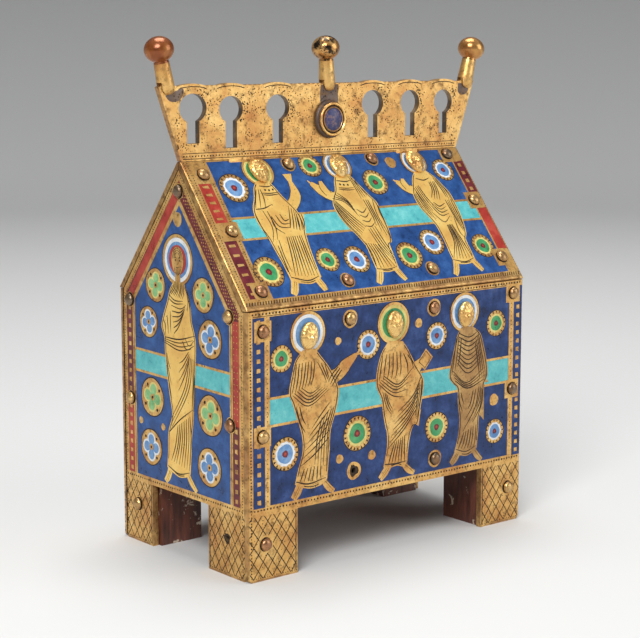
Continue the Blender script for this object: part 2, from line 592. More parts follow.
# front plate: three figures between two blue side bands
frontLook = {
    "field": (-51.5, 23.8, 53, 83.4),
    "band": (49.4, 57.3, 1.1),      # bottom, top and rise of the turquoise band
    "roundels": [(-46.9, 69.7, 4.3, "green"), (-45.5, 39.3, 5.4, "blue"), (-11.3, 70.3, 4.8, "blue"),
                 (-15.9, 41.6, 5.8, "green"), (18.9, 69.9, 4.6, "blue"), (19.2, 38.7, 5.2, "green"),
                 (46.7, 71.2, 4.5, "green"), (46.8, 33.3, 4.3, "blue")],
    "dots": [(-24, 72.8, 1.3), (10.6, 75, 1.6), (46.2, 44.5, 2.1), (-23.3, 34.3, 1.5), (-9.6, 33.5, 1.6)],
    "halos": [(-36.3, 76.6, 7, ("white", "skyBlue")), (-0.4, 76.2, 6.9, ("yellow", "leafGreen")),
              (31.7, 76.6, 6.7, ("white", "skyBlue"))],
}
frontFigures = [
    {   # the left one, with a hand raised
        "rows": [(71.5, -38.4, -33.4), (68.5, -41.4, -30.8), (64.5, -42.7, -27.4), (58.5, -44, -24),
                 (55, -42.6, -23.8), (50, -40.8, -25), (44.5, -38.9, -27), (39, -38.6, -27.4),
                 (33.5, -40.4, -28), (28.8, -41.7, -28.5)],
        "hem": [(-39, 27.4), (-35, 26.5), (-31, 27)],
        "feet": [{"line": [(-39.4, 29), (-40.6, 26.4), (-42.4, 24.2)], "wide": 3.1},
                 {"line": [(-30.2, 29), (-28.2, 26), (-25.6, 24.2)], "wide": 2.2}],
        "arms": [{"line": [(-28.5, 61), (-24, 62.2), (-20.4, 65), (-16.4, 67.6)], "wide": 4.4, "tip": 1.5,
                  "fingers": [(1.2, 1.1), (1.6, 0.3)]}],
        "folds": [
            ([(-41, 67.4), (-41.8, 62), (-42.8, 58)], [(-33.6, 67.6), (-34, 63), (-35, 60)], 7),
            ([(-32.4, 67), (-30, 63), (-28.6, 60)], [(-29.4, 66), (-28.4, 63), (-27.6, 61)], 3),
            ([(-24, 64.6), (-26.4, 62.4), (-28, 60)], [(-22.6, 63.4), (-24.6, 61), (-26.6, 58.4)], 3),
            ([(-42.6, 57.6), (-36, 53.4), (-27.6, 57.8)], [(-39, 59.6), (-35.4, 57.4), (-31.4, 59)], 5),
            ([(-27.4, 53.4), (-31, 50), (-34.8, 46)], [(-27.8, 42.2), (-33.4, 37.6), (-39.4, 34.4)], 6),
            ([(-41, 53.6), (-39.6, 48.6), (-37.4, 45)], [(-39.6, 53.6), (-38.6, 50), (-37.2, 47.6)], 2),
            ([(-30.6, 49), (-32.6, 42), (-33.6, 34)], [(-25.6, 52), (-28.2, 44), (-28.9, 33)], 5),
            ([(-37.8, 33.4), (-39, 30.8), (-39.8, 29.2)], [(-31, 33.6), (-31.2, 30.6), (-31, 28.6)], 6),
            ([(-41.2, 29.6), (-36, 28.2), (-29, 29.2)],),
        ],
    },
    {   # the middle one, holding out a book
        "rows": [(69.8, -3.2, 3.6), (66.5, -5.8, 6.2), (61, -7.6, 9.6), (56, -7.8, 13), (51.5, -5.6, 12.8),
                 (46.5, -4.8, 11.8), (41.5, -3.6, 10.8), (40.4, -3.2, 8.4), (35.5, -3, 6.8),
                 (28.6, -4.6, 6)],
        "hem": [(-2, 27.8), (1.5, 28.2), (4, 27.4)],
        "feet": [{"line": [(-2.4, 28.6), (-3.8, 26.8), (-6, 24.8)], "wide": 2.8},
                 {"line": [(4.4, 28.6), (6.4, 26.2), (9.2, 24.6)], "wide": 2.2}],
        "arms": [{"line": [(6, 57), (9.6, 60), (12.4, 62.4)], "wide": 4.2, "tip": 2.4}],
        "shapes": [[(10.2, 61.8), (14, 66.1), (17.2, 63), (13.6, 58.8)], [(8.4, 42), (11, 40.2), (12, 46)]],
        "folds": [
            ([(-5, 66), (-6, 61), (-6.6, 57.6)], [(2.4, 66.6), (3, 61), (2.4, 58)], 6),
            ([(4, 65.6), (5.6, 62), (6, 58.6)], [(5.8, 65), (7.6, 62.6), (8.6, 60)], 2),
            ([(-6.8, 56.6), (-1, 52.2), (4.4, 51)], [(-4.4, 59), (2, 55.6), (8.4, 60.6)], 5),
            ([(-5, 54), (-3.4, 49), (-1.4, 46)], [(-3.4, 53), (-2.2, 50), (-0.8, 47.6)], 3),
            ([(12, 57), (8.4, 51), (1.8, 46.4)], [(9.6, 45.8), (4.4, 40), (-2.6, 34.4)], 7),
            ([(12.4, 55.6), (11.6, 49), (10.4, 43)], [(10.6, 53), (10, 48), (9.4, 44)], 3),
            ([(0.6, 36.4), (-1.2, 32), (-2.4, 28.8)], [(4.8, 38), (4.8, 33), (4.8, 28.8)], 6),
            ([(-4, 29.4), (0.6, 29), (5.6, 29.2)],),
            ([(10.9, 61.9), (14, 65.3)], [(13.7, 59.7), (16.4, 62.8)], 2),
            ([(14, 65.3), (16.4, 62.8)], [(10.9, 61.9), (13.7, 59.7)], 2),
        ],
    },
    {   # the right one, arms folded
        "rows": [(71.4, 30, 35.4), (68.6, 28.2, 39.2), (64, 26.8, 41), (59, 25.4, 42.4), (55, 24.8, 43),
                 (52.6, 26.6, 42.6), (50.6, 28.6, 41.4), (45, 29, 41.2), (39.6, 29.8, 39.2),
                 (34, 29.2, 38.8), (28.8, 27.6, 38.2)],
        "hem": [(30.4, 27.2), (33.4, 26.6), (36.4, 27.4)],
        "feet": [{"line": [(29.6, 29), (28, 26.6), (26, 24.8)], "wide": 2.8},
                 {"line": [(36.4, 29), (38.2, 26.2), (40.6, 24.2)], "wide": 2.2}],
        "shapes": [[(38.6, 41), (41.4, 38), (41.4, 46)], [(41, 54), (43.6, 51), (40.6, 51.4)]],
        "folds": [
            ([(29, 69.6), (34, 67.8), (38.4, 69.6)], [(28.4, 59.4), (33.6, 55.4), (40, 59)], 9),
            ([(28, 68), (27, 61), (26, 55.6)], [(30.4, 68), (29.6, 62), (28.8, 58)], 3),
            ([(38, 69), (40, 62), (41.8, 54.6)], [(36.8, 66), (38, 60), (39.2, 53)], 4),
            ([(26.4, 57), (33, 52.2), (41, 56.4)], [(27.6, 53.4), (33.6, 50.2), (41.4, 52.4)], 4),
            ([(39, 50), (37.2, 43), (31.4, 35.4)], [(36, 49), (35, 45), (33.6, 43)], 3),
            ([(40.6, 49), (39.6, 43), (36, 38)], [(39.8, 50), (39, 46), (37.4, 42)], 3),
            ([(29.4, 49), (29.8, 46), (31.2, 42.4)], [(30.6, 49), (31, 47), (31.8, 45)], 2),
            ([(32, 35), (30.6, 31.6), (29.4, 29.4)], [(37.6, 37), (37.4, 32), (36.8, 29.2)], 6),
            ([(28.2, 29.6), (33, 28.2), (37.8, 29.6)],),
        ],
    },
]


def longSideOutline(lean, corner=1.0, footWide=19.4):
    inner, top = halfW - footWide, casket["eave"] - 0.5
    return [(-halfW + corner, 0), (-inner, 0), (-inner, casket["footTop"]), (inner, casket["footTop"]),
            (inner, 0), (halfW - lean - corner, 0), (halfW - lean, corner), (halfW, casket["footTop"]),
            (halfW, top), (-halfW, top), (-halfW, corner)]


def feetHatching(drawing, left, innerLeft, innerRight, right, across, tall):
    top = casket["footTop"] + 0.4
    hatch(drawing, left, 0.9, innerLeft, top, across, tall)
    hatch(drawing, innerRight, 0.9, right, top, across, tall)
    for footLeft, footRight in ((left, innerLeft), (innerRight, right)):
        for _ in range(70):
            disc(drawing, dice.uniform(footLeft, footRight), dice.uniform(1, top),
                 dice.uniform(0.1, 0.24), "groove", 5)
    for x, side in ((innerLeft, -1), (innerRight, 1)):
        block(drawing, min(x, x + side * 0.5), -1, max(x, x + side * 0.5), top, "edge")
        stroke(drawing, [(x + side * 0.75, 0.6), (x + side * 0.75, top)], 0.3, endWidth=0.3, startWidth=0.3)
    block(drawing, left - 3, -1, right + 3, 0.7, "edge")
    beadRow(drawing, (left + 1, 1.0), (right - 1, 1.0), 0.9, 0.2)


def turquoiseBand(drawing, look, line=0.8):
    left, _, right, _ = look["field"]
    low, high, rise = look["band"]
    block(drawing, left, low - line, right, high + line, "gilt", rise)
    block(drawing, left, low, right, high, "turquoise", rise)


def fieldMotifs(drawing, look, motif=roundel):
    for x, y, radius, kind in look["roundels"]:
        motif(drawing, x, y, radius, kind)
    for x, y, radius in look.get("dots", []):
        disc(drawing, x, y, radius, "gilt", 14, 0.05)
    for x, y, radius, fillings in look.get("halos", []):
        halo(drawing, x, y, radius, fillings)


def drawFront():
    drawing = [(longSideOutline(1.0), "gilt")]
    feetHatching(drawing, -58.2, -40.6, 40.6, 59, 3.7, 5.2)
    block(drawing, -61, casket["footTop"] - 0.2, 61, 86, "gilt")
    beadRow(drawing, (-57.6, 22.8), (58, 22.8), 1.25, 0.36)
    left, low, right, high = frontLook["field"]
    block(drawing, left, low, right, high, "navy")
    for bandLeft, bandRight, stripFrom, stripTo in ((-58.1, -53.5, -53.5, -51.5), (55.2, 59.2, 53, 55.2)):
        block(drawing, bandLeft, low - 0.3, bandRight, high, "navy")
        squareRow(drawing, ((bandLeft + bandRight) / 2, low), ((bandLeft + bandRight) / 2, high), 3.0, 0.72)
        middle = (stripFrom + stripTo) / 2
        beadRow(drawing, (middle, low), (middle, high), 1.5, 0.2)
    beadRow(drawing, (-58.9, 2), (-58.9, high), 1.0, 0.27)
    turquoiseBand(drawing, frontLook)
    fieldMotifs(drawing, frontLook)
    for look, metal in zip(frontFigures, ("gilt", "gilt", "brown")):
        figure(drawing, look, metal)
    block(drawing, -61, high, 61, 86, "gilt")
    beadRow(drawing, (-58, 84.5), (58, 84.5), 1.3, 0.38)
    stroke(drawing, [(-58, 83.75), (58, 83.75)], 0.2, endWidth=0.2, startWidth=0.2)
    block(drawing, -61, -1, -59.5, 90, "edge")
    block(drawing, 60.4, -1, 63, 90, "edge")
    for x, y in nailPlaces["front"]:
        if y > casket["footTop"] and abs(x) > 50:
            block(drawing, x - 3.4, y - 3.2, x + 3.2, y + 3.2, "gilt")
        nailSeat(drawing, x, y, 3.0)
    disc(drawing, -17.3, 29.5, 3.0, "gilt", 24, 0.03)
    disc(drawing, -17.3, 29.5, 1.9, "groove", 14, 0.14)
    disc(drawing, -17.3, 29.5, 1.0, "hole", 10)
    return drawing


sideRounding = {"lines": [((-halfW, 86), (-halfW, 0)), ((halfW, 0), (halfW, 86))],
                "insets": (0.12, 0.4, 0.85, 1.3),
                "radius": 1.3}
frontPlate = buildPlate("frontPlate", drawFront(), faces["front"], plainRings, sideRounding)
finishPiece(frontPlate, "front_plate")


# front roof plate, drawn up the slope
eaveLine, ridgeLine = 0.15, 55.45      # where the roof plate's face begins and ends up the slope
roofLook = {
    "field": (-50.3, 3.4, 54.3, 54.9),
    "band": (25.6, 32.8, 0),
    "roundels": [(-44, 44.6, 5.4, "blue"), (-9.7, 51.3, 4.5, "green"), (14.8, 43.1, 5, "green"),
                 (48.1, 46.3, 4.5, "blue"), (-45.4, 13, 5.5, "green"), (-20.5, 15.2, 4.4, "green"),
                 (-8.8, 14.2, 5, "blue"), (14.1, 13.6, 5.2, "green"), (26.6, 17.8, 5, "blue"),
                 (48.7, 14.4, 4.7, "green")],
    "dots": [(25.8, 50.7, 2.3)],
    "halos": [(-31.8, 50.4, 6, ("yellow", "leafGreen")), (1.8, 50.6, 5.7, ("white", "skyBlue")),
              (36.4, 50.6, 5.5, ("white", "skyBlue"))],
}
roofFigures = [
    {   # the left one, lifting a cup
        "rows": [(46.6, -34.4, -29.6), (44, -36.6, -28.2), (40, -38.4, -26.6), (36.6, -40.4, -24.6),
                 (33, -41.2, -23.2), (29, -40.8, -23.2), (25, -39.8, -24.4), (20.5, -39.4, -25.2),
                 (15, -38.8, -25.8), (9.2, -38.6, -26.2)],
        "hem": [(-36, 7.8), (-31.6, 7.1), (-28.4, 7.8)],
        "feet": [{"line": [(-37, 9.4), (-38.4, 6.2), (-40, 3.9)], "wide": 2.8},
                 {"line": [(-28.4, 9), (-27.4, 6.4), (-26.8, 4.2)], "wide": 2.6}],
        "arms": [{"line": [(-26.4, 35), (-22.8, 38), (-20.9, 41.2), (-20.8, 45.6)], "wide": 3.8,
                  "tip": 1.6}],
        "shapes": [[(-22.6, 48.6), (-21.4, 45), (-20.2, 45), (-19, 48.6)],
                   [(-25, 33), (-21.6, 33), (-23.6, 27)]],
        "folds": [
            ([(-34, 44.7), (-31, 44.2), (-28.4, 44.7)], [(-34, 41.2), (-31, 40.9), (-27.2, 41.2)], 2),
            ([(-34, 41.9), (-31, 41.6), (-27.2, 41.9)],),
            ([(-36, 43.4), (-37.6, 40), (-39.4, 36.4)], [(-34.2, 43.4), (-34.4, 40), (-35.4, 36)], 3),
            ([(-39.6, 36), (-36, 36.2), (-32.4, 37.4)],),
            ([(-37, 35.4), (-36.4, 29), (-38.4, 23.6)], [(-35.4, 35), (-35, 29), (-36.4, 24)], 2),
            ([(-40.4, 34), (-40.4, 29), (-39.8, 24)],),
            ([(-34.8, 33), (-33.4, 29), (-29.2, 28.2)], [(-31, 33.6), (-30.4, 31), (-28.4, 31.4)], 3),
            ([(-29.4, 28), (-28, 31), (-26, 36.4)], [(-26, 27), (-25, 30), (-24.4, 34)], 4),
            ([(-24.6, 33), (-25.2, 30), (-26, 26.8)], [(-22.6, 33), (-22.8, 30), (-24, 27.4)], 3),
            ([(-35, 32.6), (-35.2, 29), (-32.4, 26)],),
            ([(-37.4, 22), (-37.8, 16), (-38, 10.2)], [(-36, 24), (-36.6, 18), (-36.6, 12)], 2),
            ([(-32.4, 25), (-33.8, 18), (-36, 10.6)], [(-26.6, 25), (-27, 18), (-27.2, 9.8)], 8),
            ([(-38, 10.2), (-32, 8.4), (-26.8, 9.6)],),
        ],
        "spots": [(-32.4, 43), (-30.9, 42.8), (-29.3, 43)],
    },
    {   # the middle one, with its right hand raised
        "rows": [(47.2, -0.8, 4.8), (44.8, -2.6, 6.2), (41, -4.2, 8), (38, -6.6, 9.6), (35, -7.9, 11.2),
                 (31, -7.6, 10.8), (27, -6.2, 10.9), (23, -4, 10.4), (19.6, -2.6, 9.4), (18.2, -2.4, 7.6),
                 (13, -2.6, 7.2), (9, -2.8, 6.9)],
        "hem": [(-1, 8.6), (2, 8.2), (4.6, 8.6)],
        "feet": [{"line": [(-1.4, 9.4), (-2.8, 6.6), (-4.4, 4.4)], "wide": 2.6},
                 {"line": [(5.4, 9.4), (6.4, 7), (7.6, 4.6)], "wide": 2.4}],
        "arms": [{"line": [(-4.6, 38), (-8.2, 39.8), (-10.6, 42), (-12.8, 44.4)], "wide": 3.8, "tip": 1.7,
                  "fingers": [(-0.9, 1.1)]},
                 {"line": [(-7.4, 39.6), (-8.4, 42.2), (-8.5, 45)], "wide": 2.6, "tip": 1.3}],
        "shapes": [[(4, 19), (7.2, 12), (8, 20)]],
        "folds": [
            ([(-1.6, 44.8), (2, 44.2), (4.4, 44.6)], [(-2.2, 41.4), (1.2, 40.8), (4.2, 40.8)], 2),
            ([(-2, 42), (1.2, 41.5), (4.2, 41.6)],),
            ([(4.4, 46), (4.8, 42), (5.4, 37)], [(6.2, 44.4), (7.4, 41), (8.4, 38)], 4),
            ([(-6.8, 38), (-2.2, 36), (0.8, 30)], [(-3.8, 40), (-1, 37), (0, 34)], 4),
            ([(-7.4, 35), (-6, 29), (-2.6, 22.4)], [(-6.2, 37), (-2.4, 31), (1.4, 26)], 6),
            ([(1, 33), (3, 31.6), (5.6, 33.4)], [(1.6, 26.4), (3.8, 26), (6, 27.4)], 4),
            ([(6, 36.6), (6.4, 30), (6, 26)], [(7.6, 36.4), (8, 30), (8.6, 22)], 3),
            ([(9.6, 36.4), (8.6, 30), (9.6, 21)], [(10.8, 34), (10.4, 28), (9.8, 20)], 2),
            ([(2, 25), (3.4, 18), (6.8, 11.4)], [(5.2, 26), (6, 20), (7.4, 14)], 4),
            ([(-1.8, 20), (-1.4, 15), (-2.2, 10)], [(2.8, 19), (4, 15), (5.8, 10)], 6),
            ([(-2.4, 9.9), (2, 9.3), (6.4, 9.9)],),
        ],
        "spots": [(-0.8, 43.2), (0.7, 42.9), (2.4, 42.8)],
    },
    {   # the right one
        "rows": [(46.4, 34.4, 39.8), (43.8, 32, 42.4), (40, 30, 44.4), (36.6, 28.6, 45.8), (32, 28.9, 46),
                 (28, 30.6, 45.8), (24, 32, 45.2), (20, 32.2, 44), (17.4, 32.2, 42.4), (13, 31.9, 42.2),
                 (9, 31.8, 42)],
        "hem": [(34, 8.2), (37, 7.9), (40, 8.2)],
        "feet": [{"line": [(32.8, 9.4), (31.4, 6.4), (29.8, 4.2)], "wide": 2.4},
                 {"line": [(40.6, 9.4), (41.8, 7), (43, 4.8)], "wide": 2.4}],
        "arms": [{"line": [(31.4, 38), (28, 39.6), (26, 41.2), (24, 42.8)], "wide": 3.6, "tip": 1.6,
                  "fingers": [(-0.9, 0.8)]},
                 {"line": [(28, 40), (27.2, 42), (27.4, 43.8)], "wide": 2.4, "tip": 1.2}],
        "folds": [
            ([(33.6, 43.6), (36.6, 42.6), (39.6, 43.4)],),
            ([(38.8, 41.8), (38.4, 38.6), (36.4, 35.2)], [(41, 41.8), (40.8, 38), (39.6, 34)], 4),
            ([(41.4, 43.4), (42.6, 39), (43.2, 35)], [(43, 41.8), (44.4, 38), (45, 33)], 3),
            ([(30.6, 40), (31.8, 34), (33.4, 29)], [(33, 40.6), (33.8, 36), (35.4, 32)], 4),
            ([(29.4, 37), (30, 33), (31.6, 28.6)], [(30.6, 38), (31.6, 33), (33.4, 26)], 3),
            ([(34.4, 32), (36.8, 28), (40.6, 28.4)], [(36, 33.4), (38, 31.6), (41, 32.6)], 4),
            ([(33.6, 29), (36.6, 25.2), (40.6, 27.4)],),
            ([(42, 34), (42.4, 28), (43.2, 21)], [(44.4, 34), (44.4, 28), (44.4, 22)], 4),
            ([(42, 27), (41.4, 21), (42.6, 17.8)],),
            ([(37.2, 24), (36.4, 17), (32.6, 10.4)], [(39.4, 24), (40.4, 17), (41.4, 10)], 7),
            ([(32.2, 10.2), (37, 8.9), (41.6, 10)],),
        ],
    },
]


def squareBand(drawing, left, low, right, high, filling, pitch, half, tall=None):
    block(drawing, left, low, right, high, filling)
    squareRow(drawing, ((left + right) / 2, low), ((left + right) / 2, high), pitch, half, "gilt", tall)


def drawRoof(look, figures, nailPoints, plain=False):
    drawing = [([(-halfW, eaveLine), (halfW, eaveLine), (halfW, ridgeLine), (-halfW, ridgeLine)], "gilt")]
    left, low, right, high = look["field"]
    block(drawing, left, low, right, high, "lapis")
    for x in (-59.2, -57.8, -51.3, 59.6):
        beadRow(drawing, (x, 3), (x, ridgeLine - 0.6), 0.95, 0.22)
    squareBand(drawing, -57, 4, -52.3, 25.2, "maroon", 3.3, 1.25, 0.5)
    squareBand(drawing, -57, 32, -52.3, 47, "red", 3.3, 1.2, 0.45)
    block(drawing, 54.9, 12.4, 59.2, 29.8, "red")
    squareBand(drawing, 54.9, 36.2, 59.2, 49.6, "maroon", 3.3, 0.75)
    turquoiseBand(drawing, look)
    fieldMotifs(drawing, look)
    for person in figures:
        figure(drawing, person, "bright")
    for x in (-60.6, 60.6):
        block(drawing, x - 0.7, -1, x + 0.7, 60, "edge")
    block(drawing, -60, -1, 60, low - 0.1, "gilt")
    if not plain:
        block(drawing, left, high, right, 56, "gilt")
    block(drawing, -61, -1, 61, 2.0, "edge")
    for k in range(112):
        x = -59.2 + k * 1.06
        stroke(drawing, [(x - 0.15, 1.7), (x + 0.35, 2.9)], 0.5, endWidth=0.4, startWidth=0.4)
    for x, y in nailPoints:
        if abs(x) > 50:
            block(drawing, x - 3.2, y - 3.4, x + 3.4, y + 3.4, "gilt")
        nailSeat(drawing, x, y, 2.8)
    for x in (-36, 36):
        block(drawing, x - 5.3, 54.3, x + 5.3, 60, "hole")
    return drawing


def roofShift(eaveTo, ridgeTo):
    def shift(x, y):
        if y < 3:
            return x, eaveTo + (y - eaveLine) / (3 - eaveLine) * (3 - eaveTo)
        if y > 52:
            return x, 52 + (y - 52) / (ridgeLine - 52) * (ridgeTo - 52)
        return x, y
    return shift


roofRings = [(0.78, roofShift(0.36, 56.1)), (casket["plate"], roofShift(1.5, 54.3))]
roofRounding = {"lines": [((-halfW, eaveLine), (halfW, eaveLine)), ((-halfW, 60), (-halfW, 0)),
                          ((halfW, 0), (halfW, 60))],
                "insets": (0.08, 0.25, 0.6), "radius": 0.6}
frontRoofPlate = buildPlate("frontRoofPlate", drawRoof(roofLook, roofFigures, nailPlaces["front_roof"]),
                            faces["front_roof"], roofRings, roofRounding)
finishPiece(frontRoofPlate, "front_roof_plate")


# end plates: one figure under the gable
endLook = {
    "field": (-26.3, 23.5, 25.4, 90),
    "band": (59.4, 65.8, -0.9),
    "halos": [(-1.3, 98, 8.3, ("white", "skyBlue", "red"))],
    "motifs": [(-14, 88.6, 5.6, "green"), (12.5, 88.2, 5.6, "green"), (-18.3, 76, 5.2, "blue"),
               (16, 74.5, 6.2, "blue"), (-16.7, 51, 6.5, "green"), (15.7, 50.1, 6.6, "green"),
               (-17.8, 34, 6.1, "blue"), (15, 33.2, 6.3, "blue")],
    "dots": [(-23.6, 42.2, 1.2), (-10.6, 42, 1.2)],
}
endFigure = {
    "rows": [(91, -3.6, 2), (88, -5.8, 4), (84, -7.4, 5.6), (79, -9.8, 6.2), (75.5, -10.8, 7.6),
             (72, -9.2, 8.4),
             (67, -9, 8.2), (60, -8, 7.6), (53, -6.6, 7), (47, -5.4, 6.6), (41, -7.6, 5.6), (35, -8, 5.2),
             (29, -8.6, 4.6)],
    "hem": [(-5, 27.6), (-1.6, 26.8), (2, 27.4)],
    "feet": [{"line": [(-6.6, 29), (-7.8, 26.2), (-9.6, 24)], "wide": 2.6},
             {"line": [(3, 29), (5, 26.4), (8, 23.8)], "wide": 2.2}],
    "folds": [
        ([(-3, 91), (-4, 88.6), (-6, 86.6)], [(1.6, 91), (2, 88), (1.2, 85.6)], 9),
        ([(-6.4, 86.4), (-3, 84.8), (1.4, 85)], [(-6.6, 85.2), (-3, 83.8), (1.8, 84.2)], 2),
        ([(2.6, 90), (4.2, 86), (4, 82)], [(3.4, 89), (5.2, 85), (5.4, 80)], 2),
        ([(-5, 83), (0, 82.4), (3, 84)], [(-3.6, 74), (-1.2, 76.4), (1.8, 81)], 6),
        ([(-9.6, 78), (-8.4, 76), (-8.6, 73)], [(-5.6, 81), (-5.6, 77), (-5.4, 74)], 3),
        ([(-9, 72.2), (-1, 72.4), (7.8, 74.6)], [(-9, 70.4), (-1, 68.8), (5.6, 70)], 4),
        ([(1, 72), (3.4, 69.6), (7.4, 71.4)], [(2.6, 73), (4.6, 71), (7.4, 73)], 2),
        ([(4.4, 69), (1.4, 66), (-1, 64.6)], [(4.6, 67), (2, 61), (-1.6, 55.6)], 4),
        ([(-8, 67), (-7, 64), (-6, 62)], [(-8.2, 63), (-7, 58), (-5.4, 52)], 3),
        ([(4.8, 67.4), (2, 57), (-6, 45.6)], [(6, 67), (4, 56), (-7, 41)], 3),
        ([(-7, 41), (-1, 46), (6, 50.4)],),
        ([(6.8, 67), (6.6, 58), (5.6, 50)], [(7.4, 62), (7.2, 55), (6.6, 50)], 2),
        ([(-2, 44), (-3.6, 37), (-6.2, 31.6)], [(4.6, 48), (5, 40), (4, 30)], 8),
        ([(-8, 29.6), (-2, 27.9), (4.2, 29.4)],),
    ],
}


def engravedHead(drawing, x, y, wide, tall):
    outline = []
    for k in range(28):
        angle = k * math.tau / 28
        jaw = 1 - 0.16 * max(0, -math.sin(angle))
        outline.append((x + wide / 2 * jaw * math.cos(angle), y + tall / 2 * math.sin(angle)))
    drawing.append((outline, "gilt"))
    block(drawing, x - wide * 0.22, y - tall * 0.72, x + wide * 0.22, y - tall * 0.3, "gilt")
    w, h = wide / 2, tall / 2
    folds(drawing, [(x - w * 0.9, y + h * 0.1), (x - w * 0.55, y + h * 0.72), (x, y + h * 0.95)],
          [(x - w * 0.45, y + h * 0.2), (x - w * 0.3, y + h * 0.5), (x, y + h * 0.6)], 3, 0.28)
    folds(drawing, [(x + w * 0.9, y + h * 0.1), (x + w * 0.55, y + h * 0.72), (x, y + h * 0.95)],
          [(x + w * 0.45, y + h * 0.2), (x + w * 0.3, y + h * 0.5), (x, y + h * 0.6)], 3, 0.28)
    for side in (-1, 1):
        stroke(drawing, [(x + side * w * 0.16, y + h * 0.2), (x + side * w * 0.34, y + h * 0.27),
                         (x + side * w * 0.56, y + h * 0.16)], 0.3)
        disc(drawing, x + side * w * 0.34, y + h * 0.06, 0.33, "groove", 8)
    stroke(drawing, [(x + w * 0.1, y + h * 0.16), (x + w * 0.12, y - h * 0.16),
                     (x - w * 0.1, y - h * 0.2)], 0.26)
    stroke(drawing, [(x - w * 0.24, y - h * 0.42), (x, y - h * 0.46), (x + w * 0.24, y - h * 0.42)], 0.28)
    folds(drawing, [(x - w * 0.5, y - h * 0.5), (x - w * 0.36, y - h * 0.78), (x - w * 0.1, y - h * 0.98)],
          [(x + w * 0.5, y - h * 0.5), (x + w * 0.36, y - h * 0.78), (x + w * 0.1, y - h * 0.98)], 5, 0.26)


def roofUnderside(y, n):
    s = (halfD + n * riseShare - abs(y)) / runShare
    return casket["eave"] + s * riseShare + n * runShare


endHalf = halfD - casket["plate"] - 0.3
shoulder = roofUnderside(endHalf, -casket["plate"] - 0.3)
apex = roofUnderside(0, -casket["plate"] - 0.3)


def endOutline(backStart, frontStart):
    return [(-endHalf, 0), (-backStart, 0), (-backStart, casket["footTop"]),
            (frontStart, casket["footTop"]),
            (frontStart, 0), (endHalf, 0), (endHalf, shoulder), (0, apex), (-endHalf, shoulder)]


# the gable's outline moved in by the given distance, from one eave over the apex to the other
def gable(inset, low):
    side = endHalf - inset
    slope = inset / runShare
    return [(side, low), (side, roofUnderside(side, -2.5) - slope), (0, apex - slope),
            (-side, roofUnderside(side, -2.5) - slope), (-side, low)]


def drawEnd(outline, backStart, frontStart, nailPoints, look, person, emptyHole=None):
    drawing = [(outline, "gilt")]
    feetHatching(drawing, -endHalf + 0.6, -backStart, frontStart, endHalf - 0.6, 3.5, 5.2)
    block(drawing, -40, casket["footTop"] - 0.2, 40, 90, "gilt")
    beadRow(drawing, (-endHalf + 1, 22.4), (endHalf - 1, 22.4), 1.25, 0.33)
    left, low, right, high = look["field"]
    drawing.append((gable(0.6, low), "gilt"))
    drawing.append((gable(2.0, low), "maroon"))
    # the far slope and the near side are bright red, the near slope and the far side maroon
    drawing.append(([(-endHalf + 2.0, shoulder - 3), (0, shoulder - 3), (0, apex - 3.2),
                     (-endHalf + 2.0, shoulder - 1.6)], "red"))
    block(drawing, -endHalf + 2.0, low, 0, 49, "red")
    block(drawing, 0, 49, endHalf - 2.0, shoulder - 3, "red")
    drawing.append((gable(5.4, low), "gilt"))
    drawing.append((gable(6.9, low), "lapis"))
    for side in (-1, 1):
        x = side * (endHalf - 3.7)
        squareRow(drawing, (x, low), (x, shoulder - 4 if side < 0 else 49), 3.1, 0.7)
        if side > 0:
            for shift in (-0.9, 0.1, 1.1):
                beadRow(drawing, (x + shift + 0.4, shoulder - 2), (shift + 1.2, apex - 6.4), 1.3, 0.26,
                        "gilt")
            for shift in (-0.9, 0.7):
                beadRow(drawing, (x + shift, 51), (x + shift, shoulder - 4), 1.9, 0.22, "gilt")
        beadRow(drawing, (side * (endHalf - 0.7), 2), (side * (endHalf - 0.7), shoulder - 1), 0.95, 0.22)
        beadRow(drawing, (side * (endHalf - 1.4), shoulder - 1), (side * 0.6, apex - 1.8), 0.95, 0.22)
        stroke(drawing, [(side * (endHalf - 6.2), low), (side * (endHalf - 6.2), shoulder - 4)], 0.2,
               endWidth=0.2, startWidth=0.2)
    bandLow, bandHigh, rise = look["band"]
    inner = endHalf - 6.9
    block(drawing, -inner, bandLow - 0.8, inner, bandHigh + 0.8, "gilt", rise)
    block(drawing, -inner, bandLow, inner, bandHigh, "turquoise", rise)
    for x, y, radius, kind in look["motifs"]:
        quatrefoil(drawing, x, y, radius, kind)
    for x, y, radius in look["dots"]:
        disc(drawing, x, y, radius, "gilt", 14, 0.05)
    for x, y, radius, colours in look["halos"]:
        halo(drawing, x, y, radius, colours)
    figure(drawing, person, "bright")
    engravedHead(drawing, look["halos"][0][0], look["halos"][0][1] - 0.4, 6.6, 9.2)
    disc(drawing, -1, 111, 2.4, "gilt", 16, 0.04)
    for x, y in nailPoints:
        nailSeat(drawing, x, y, 2.6)
    if emptyHole:
        disc(drawing, *emptyHole, 1.7, "groove", 12, 0.12)
        disc(drawing, *emptyHole, 1.0, "hole", 10)
    return drawing


endRounding = {"lines": [((-endHalf, 90), (-endHalf, 0)), ((endHalf, 0), (endHalf, 90))],
               "insets": (0.08, 0.25), "radius": 0.35}
leftEndPlate = buildPlate("leftEndPlate", drawEnd(endOutline(17.5, 14.2), 17.5, 14.2,
                                                  nailPlaces["left_end"],
                                                  endLook, endFigure, (24.2, 12.2)),
                          faces["left_end"], plainRings, endRounding)
finishPiece(leftEndPlate, "left_end_plate")
rightEndPlate = buildPlate("rightEndPlate", drawEnd(endOutline(14.2, 17.5), 14.2, 17.5,
                                                    nailPlaces["right_end"],
                                                    endLook, endFigure),
                           faces["right_end"], plainRings, endRounding)
finishPiece(rightEndPlate, "right_end_plate")


